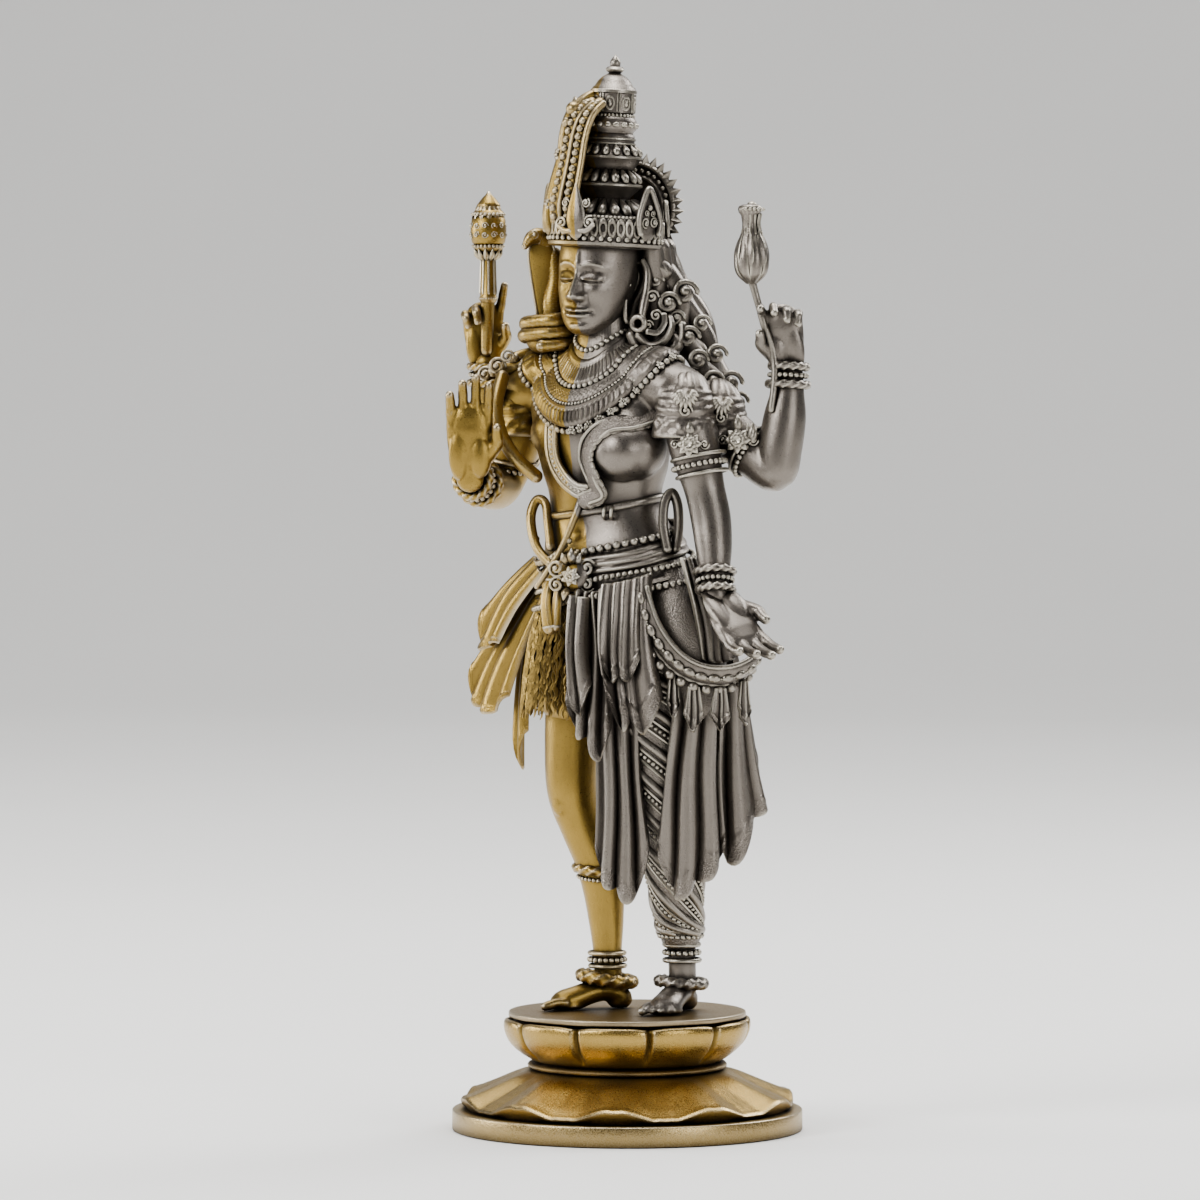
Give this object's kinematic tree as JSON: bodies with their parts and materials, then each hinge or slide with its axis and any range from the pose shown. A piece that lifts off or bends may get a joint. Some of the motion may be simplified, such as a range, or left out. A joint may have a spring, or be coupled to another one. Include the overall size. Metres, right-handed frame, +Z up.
{
  "type": "ardhanarishvara statue",
  "caption": "Standing deity statuette, half ascetic and half consort, with raised and lowered hands, tall crown and long drapery, on a round lotus pedestal.",
  "frame": {"origin": "centre of the round base's underside", "axes": "+Z up along the statue's height, -Y the way the figure looks, +X its left side, the consort's"},
  "size_m": [0.1249, 0.098, 0.3],
  "materials": {
    "figure_plated_metal": "plated casting, one half antique gold and one half satin silver, dark in the hollows",
    "plate_bronze_gold": "antique gold, darkened",
    "pedestal_gold": "antique gold, satin, worn edges",
    "disc_gold": "antique gold, satin, worn edges"
  },
  "bodies": {
    "root": {"figure": "figure_plated_metal", "standing_plate": "plate_bronze_gold", "lotus_pedestal": "pedestal_gold", "base_disc": "disc_gold"}
  },
  "joints": []
}
